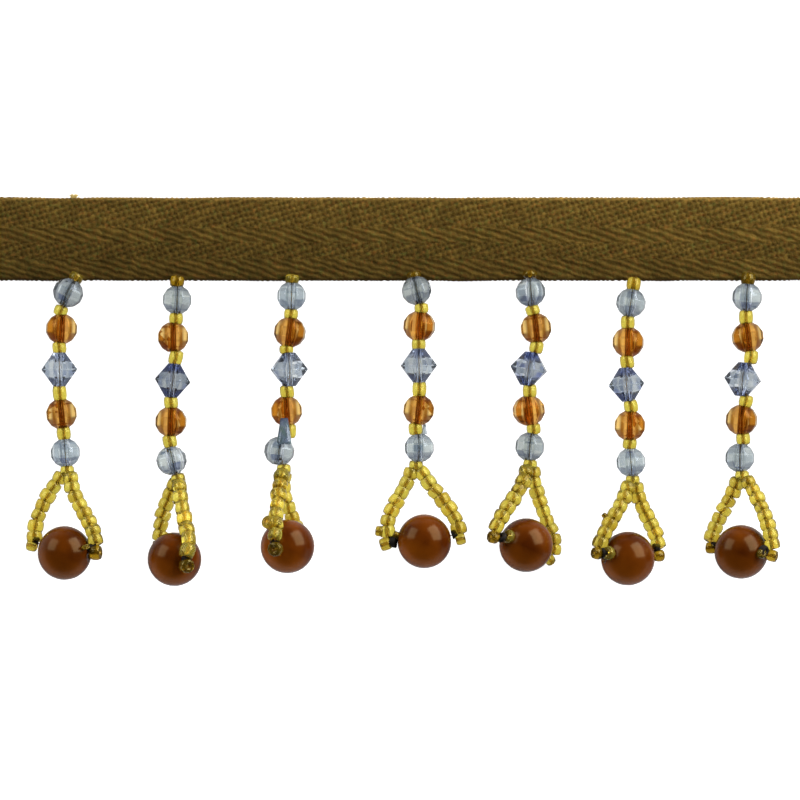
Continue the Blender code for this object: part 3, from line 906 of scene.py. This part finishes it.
def bead_shapes():
    hole = SEED_HOLE_WIDTH / SEED_WIDTH / 2
    bore = BORE_WIDTH * 0.4
    seed = mirrored([(hole, 0.37), *SEED_RINGS])
    cut = mirrored([(bore, 2.5 * MM), *in_mm(ROUND_RINGS)])
    waist = (BICONE_WIDTH / 2 / math.cos(TAU / 16), 0.1 * MM)
    cones = mirrored([(bore, BICONE_LENGTH / 2), (BICONE_END_WIDTH / 2, BICONE_LENGTH / 2), waist])
    brown = arc_rings(BROWN_WIDTH, BORE_WIDTH, BROWN_STEPS)
    return {
        "seed": turned_shape("seed_shape", seed, SEED_SIDES),
        "round": turned_shape("round_shape", cut, CUT_SIDES, 0.28 * MM),
        "bicone": turned_shape("bicone_shape", cones, CUT_SIDES, 0.06 * MM),
        "brown": turned_shape("brown_shape", brown, BROWN_SIDES),
        "chip": turned_shape("chip_shape", in_mm(CHIP_RINGS), CHIP_SIDES, 0.1 * MM),
    }


def centre_of(node):
    low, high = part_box(node)
    return (low + high) / 2


Spot = namedtuple("Spot", "centre axis width length tone light", defaults=(1.0,))


class Strand:
    """One drop: its beads as they lie in the frame, and its seed beads and thread between them."""

    def __init__(self, number, row):
        self.number = number
        self.row = row
        self.top = TOPS[number - 1]
        self.name = f"drop{number}"
        self.beads = [centre_of(f"{self.name}_{part}") for part in PARTS]
        self.brown = centre_of(f"{self.name}_brown")
        round_half = math.sqrt(ROUND_WIDTH**2 - BORE_WIDTH**2) / 2
        self.halves = [BICONE_LENGTH / 2 if part == "bicone" else round_half for part in PARTS]
        turn, dip = math.radians(row.turn), math.radians(row.dip)
        self.outwards = Vector((math.cos(turn), 0, math.sin(turn)))
        self.hole = Vector((math.cos(dip) * math.cos(turn), -math.sin(dip), math.cos(dip) * math.sin(turn)))
        self.place_column()

    def place_column(self):
        beads, halves = self.beads, self.halves
        across = [(self.row.root + shift) * MM for shift in (0, *self.row.shifts)]
        height = TAPE_LOW.y + self.top.up * MM
        places = [Vector((across[0], height, TAPE_HIGH.z + SEED_WIDTH / 2))]
        lengths = [self.top.length * MM]
        for i in range(4):
            upper = beads[i].y - halves[i]
            lower = beads[i + 1].y + halves[i + 1]
            middle = (across[i + 1], (upper + lower) / 2, (beads[i].z + beads[i + 1].z) / 2)
            places.append(Vector(middle))
            lengths.append(max(SHORTEST_SEED, upper - lower + SEED_NESTING))
        fork = beads[-1].y - halves[-1] - FORK_SEED_LENGTH / 2 + SEED_NESTING / 2
        places.append(Vector((across[5], fork, beads[-1].z)))
        lengths.append(FORK_SEED_LENGTH)
        self.fork = places[-1]
        self.aims = [(below - above).normalized() for above, below in zip(places, places[1:])]
        self.column = []
        for i, (place, length) in enumerate(zip(places, lengths)):
            axis = sum(self.aims[max(0, i - 1) : i + 1], Vector()).normalized()
            self.column.append(Spot(place, axis, SEED_WIDTH, length, COLUMN_TONE if i else self.top.tone))

    def leg(self, hand):
        return self.row.right if hand > 0 else self.row.left

    def leg_path(self, hand):
        """Points of a cubic curve down one leg, kept off the brown bead and the surface.

        The curve's middle lies three quarters of the way to its handles."""
        leg = self.leg(hand)
        side = self.outwards * hand
        start = self.fork + side * FORK_SIDE + Vector((0, -FORK_DOWN, 0))
        end = self.brown + Vector((leg.across, leg.up, leg.lift)) * MM
        push = side * (leg.bow * MM * 4 / 3)
        near = start.lerp(end, 1 / 3) + push + Vector((hand * leg.near * MM, 0, 0))
        far = start.lerp(end, 2 / 3) + push + Vector((hand * leg.far * MM, 0, 0))
        path = []
        for i in range(LEG_SAMPLES + 1):
            t = i / LEG_SAMPLES
            s = 1 - t
            point = s**3 * start + 3 * s * s * t * near + 3 * s * t * t * far + t**3 * end
            away = point - self.brown
            if away.length < LEG_CLEAR:
                point = self.brown + away.normalized() * LEG_CLEAR
            point.z = max(point.z, LEG_SEED_WIDTH / 2)
            path.append(point)
        return path

    def leg_spots(self, hand, shake):
        path = self.leg_path(hand)
        marks = [0.0]
        for before, after in zip(path, path[1:]):
            marks.append(marks[-1] + (after - before).length)
        in_front = self.leg(hand).lift > FRONT_LIFT
        # A front leg's seed beads get painted light: a higher tone.
        pitch, light = (FRONT_SEED_PITCH, FRONT_LEG_PAINTED_LIGHT) if in_front else (LEG_SEED_PITCH, 1.0)
        count = round(marks[-1] / pitch)
        pitch = marks[-1] / count
        spots = []
        for k in range(count):
            distance = (k + 0.5) * pitch
            i = next(n for n in range(1, len(path)) if marks[n] >= distance)
            share = (distance - marks[i - 1]) / (marks[i] - marks[i - 1])
            axis = (path[i] - path[i - 1]).normalized()
            place = path[i - 1].lerp(path[i], share)
            width = LEG_SEED_WIDTH * shake.uniform(*WIDTH_RANGE)
            length = pitch * shake.uniform(*LENGTH_RANGE)
            spots.append(Spot(place, axis, width, length, shake.uniform(*TONE_RANGE) * light))
        return spots

    def end_spots(self, ends):
        """The knots or the odd seed beads at the brown bead, each facing away from it."""
        spots = []
        for end in ends:
            if end.drop == self.number:
                away = Vector((end.across, end.up, end.lift)) * MM
                sizes = (end.width * MM, end.length * MM)
                spots.append(Spot(self.brown + away, away.normalized(), *sizes, end.tone))
        return spots

    def lines(self):
        """The thread's runs: down the column, and down each leg into the brown bead."""
        first = self.column[0]
        stitch = first.centre + Vector((0, first.length / 2 + STITCH_LENGTH, 0))
        stitch.z = TAPE_HIGH.z - STITCH_DEPTH
        column = [stitch]
        for i, spot in enumerate(self.column):
            column += [spot.centre, *self.beads[i : i + 1]]
        return [column, *[[self.fork, *self.leg_path(hand), self.brown] for hand in (-1, 1)]]


def carrier_of_spots(name, spots):
    """A mesh of loose points, one for each spot, with the spot's axis, size, tone and light."""
    mesh = bpy.data.meshes.new(name)
    mesh.from_pydata([spot.centre for spot in spots], [], [])
    kinds = {"axis": "FLOAT_VECTOR", "size": "FLOAT_VECTOR", "tone": "FLOAT", "light": "FLOAT"}
    for label, kind in kinds.items():
        mesh.attributes.new(label, kind, "POINT")
    for i, spot in enumerate(spots):
        mesh.attributes["axis"].data[i].vector = spot.axis
        mesh.attributes["size"].data[i].vector = (spot.width, spot.width, spot.length)
        mesh.attributes["tone"].data[i].value = spot.tone
        mesh.attributes["light"].data[i].value = spot.light
    return mesh


def carrier_of_lines(name, lines):
    points, edges = [], []
    for line in lines:
        start = len(points)
        points += line
        edges += [(start + i, start + i + 1) for i in range(len(line) - 1)]
    mesh = bpy.data.meshes.new(name)
    mesh.from_pydata(points, edges, [])
    return mesh


def dress(piece, slot, *nodes):
    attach(piece, "root")
    if nodes:
        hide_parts(*nodes)


def make_tape(finish):
    size = TAPE_HIGH - TAPE_LOW
    width, lower_edge = size.y - 2 * TAPE_MARGIN, TAPE_LOW.y + TAPE_MARGIN
    sizes = {"length": size.x, "width": width, "lower_edge": lower_edge, "thickness": size.z}
    tape = twill_recipe().make("woven_tape", bpy.data.meshes.new("tape_carrier"), finish, **sizes)
    shell = bmesh.new()
    shell.from_mesh(tape.data)
    bmesh.ops.recalc_face_normals(shell, faces=shell.faces)
    shell.to_mesh(tape.data)
    shell.free()
    dress(tape, "twill_tape", "tape")


def tuft_lines(shake):
    """The short ends of the tuft, spread like a fan from its foot."""
    ends = []
    for k in range(TUFT_ENDS):
        side = (k + 0.5) / TUFT_ENDS * 2 - 1
        depth = shake.uniform(-TUFT_DEPTH, TUFT_DEPTH) * MM
        foot = TUFT_MIDDLE + Vector((side * TUFT_SPREAD * TUFT_FOOT, 0, depth))
        height = TUFT_HEIGHT * shake.uniform(0.7, 1.0)
        top = foot + Vector((side * TUFT_SPREAD * (1 - TUFT_FOOT), height, 0))
        ends.append([foot, foot.lerp(top, 0.5) + Vector((0, 0, TUFT_ARCH)), top])
    return ends


def make_drops():
    shake = random.Random(4)
    strands = [Strand(number, row) for number, row in enumerate(DROPS, 1)]
    shapes = bead_shapes()
    shapes["chip"].data.transform(Matrix.Diagonal((1, CHIP_FLATNESS, 1, 1)))
    strung = strung_recipe()
    laid = thread_recipe()
    brown_yarn = yarn_finish("brown_thread", (0.26, 0.13, 0.035), (0.42, 0.23, 0.07))
    dark_yarn = yarn_finish("dark_knots", (0.006, 0.0045, 0.004), (0.018, 0.013, 0.009))
    pale_yarn = yarn_finish("pale_tuft", (0.55, 0.40, 0.12), (0.70, 0.55, 0.22))

    def string(name, shape, spots, finish, parts=()):
        """Strings a shape on its spots, in place of the named parts of every drop."""
        slot, lean, spin, seed = STRINGING[name]
        turns = {"lean": math.radians(lean), "spin": math.radians(spin), "seed": seed}
        piece = strung.make(name, carrier_of_spots(f"{name}_spots", spots), finish, shape=shape, **turns)
        dress(piece, slot, *[f"{strand.name}_{part}" for strand in strands for part in parts])

    spots = []
    for strand in strands:
        spots += strand.column + strand.leg_spots(-1, shake) + strand.leg_spots(1, shake)
        spots += strand.end_spots(ODD_SEEDS)
    string("seed_beads", shapes["seed"], spots, seed_finish(), ["thread"])

    lines = [line for strand in strands for line in strand.lines()]
    dress(laid.make("drop_threads", carrier_of_lines("thread_lines", lines), brown_yarn), "seed_beads")

    winding = winding_recipe().make("winding_shape", bpy.data.meshes.new("winding_carrier"), dark_yarn)
    string("knots", winding, [spot for strand in strands for spot in strand.end_spots(KNOTS)], dark_yarn)
    bpy.data.objects.remove(winding)

    kinds = (
        ("blue_rounds", "round", ("blue_top", "blue_low"), 0.99, blue_finish()),
        ("amber_rounds", "round", ("amber_top", "amber_low"), 1.05, amber_finish()),
        ("blue_bicones", "bicone", ("bicone",), 1.0, bicone_finish()),
    )
    for name, shape, parts, size, finish in kinds:
        spots = []
        for number, strand in enumerate(strands):
            for part in parts:
                i = PARTS.index(part)
                tone = BICONE_TONES[number] if part == "bicone" else shake.uniform(0.0, 1.0)
                light = LIGHTS[part][number]
                spots.append(Spot(strand.beads[i], strand.aims[i], size, size, tone, light))
        string(name, shapes[shape], spots, finish, parts)

    spots = [Spot(Vector(at) * MM, Vector(way).normalized(), *rest) for at, way, *rest in CHIPS]
    string("glass_chips", shapes["chip"], spots, chip_finish())

    ends = carrier_of_lines("tuft_lines", tuft_lines(shake))
    dress(laid.make("yarn_tuft", ends, pale_yarn), "twill_tape")

    spots = [Spot(s.brown, s.hole, 1.0, 1.0, tone) for s, tone in zip(strands, BROWN_TONES)]
    string("brown_beads", shapes["brown"], spots, brown_finish(), ["brown"])
    for shape in shapes.values():
        bpy.data.objects.remove(shape)


PHOTO_SIDE = 800
PIXEL = 0.18 * MM
PHOTO_CENTRE = Vector((-0.18 * MM, -1.5 * MM, 2.5 * MM))
CAMERA_HEIGHT = 2.4
FILM_WIDTH = 36
FLOOR_SIDE = 3
FLOOR_DROP = 0.05 * MM

# How light the room is high up and at the horizon, to the eye and through glass, and how much light the floor
# loses where it is mirrored.
ROOM_LIGHT = 0.06
HORIZON_LIGHT = 0.22
SEEN_LIGHT = 0.95
THROUGH_LIGHT = 0.3
MIRROR_LOSS = 0.88

# Each softbox: which way it stands, its distance in metres, its width and height, its power and its roll.
Softbox = namedtuple("Softbox", "name way distance size power roll")
SOFTBOXES = (
    Softbox("right_softbox", (0.69, 0.54, 0.46), 1.0, (1.1, 0.8), 19.0, -18),
    Softbox("left_softbox", (-0.80, 0.52, 0.42), 1.0, (0.75, 0.65), 6.5, 15),
)


def make_world():
    """A dim room, a little lighter near the horizon, that the eye alone sees as white."""
    world = bpy.data.worlds.new("soft_room")
    bpy.context.scene.world = world
    world.use_nodes = True
    tree = world.node_tree
    room = tree.nodes["Background"]
    height = parts_of(output(add(tree, "ShaderNodeTexCoord"), "Generated"))[2].clamped()
    dim = (1 - height).power(3.0) * HORIZON_LIGHT + ROOM_LIGHT
    path = add(tree, "ShaderNodeLightPath")
    seen = field(path, "Is Camera Ray")
    through = field(path, "Is Transmission Ray")
    plug(room.inputs["Strength"], dim * (1 - seen) + seen * SEEN_LIGHT + through * THROUGH_LIGHT)
    plug(room.inputs["Color"], (1.0, 1.0, 1.0))


def make_stage():
    bpy.ops.mesh.primitive_plane_add(size=FLOOR_SIDE, location=(0, 0, -FLOOR_DROP))
    floor = bpy.context.object
    floor.name = "floor"
    constants = {"base_color": (0.6, 0.6, 0.6), "emission_color": (1.0, 1.0, 1.0)}
    paper = Finish("pale_floor", roughness=0.9, specular_ior_level=0.0, **constants)
    path = add(paper.tree, "ShaderNodeLightPath")
    mirrored_ray = field(path, "Is Glossy Ray") * (1 - field(path, "Is Transmission Ray"))
    paper.set("Emission Strength", 1 - mirrored_ray * MIRROR_LOSS)
    floor.data.materials.append(paper.material)
    make_world()
    for box in SOFTBOXES:
        lamp = bpy.data.lights.new(box.name, "AREA")
        lamp.shape = "RECTANGLE"
        lamp.size, lamp.size_y = box.size
        lamp.energy = box.power
        holder = placed(box.name, lamp)
        way = Vector(box.way).normalized()
        holder.location = way * box.distance
        holder.rotation_euler = way.to_track_quat("Z", "Y").to_euler()
        holder.rotation_euler.rotate_axis("Z", math.radians(box.roll))
    camera = placed("camera", bpy.data.cameras.new("camera"))
    camera.location = PHOTO_CENTRE + Vector((0, 0, CAMERA_HEIGHT))
    camera.data.sensor_width = FILM_WIDTH
    camera.data.lens = FILM_WIDTH * CAMERA_HEIGHT / (PHOTO_SIDE * PIXEL)
    camera.data.clip_end = 10
    bpy.context.scene.camera = camera
    bpy.context.scene.view_settings.view_transform = "Standard"


make_tape(twill_finish())
make_drops()
make_stage()
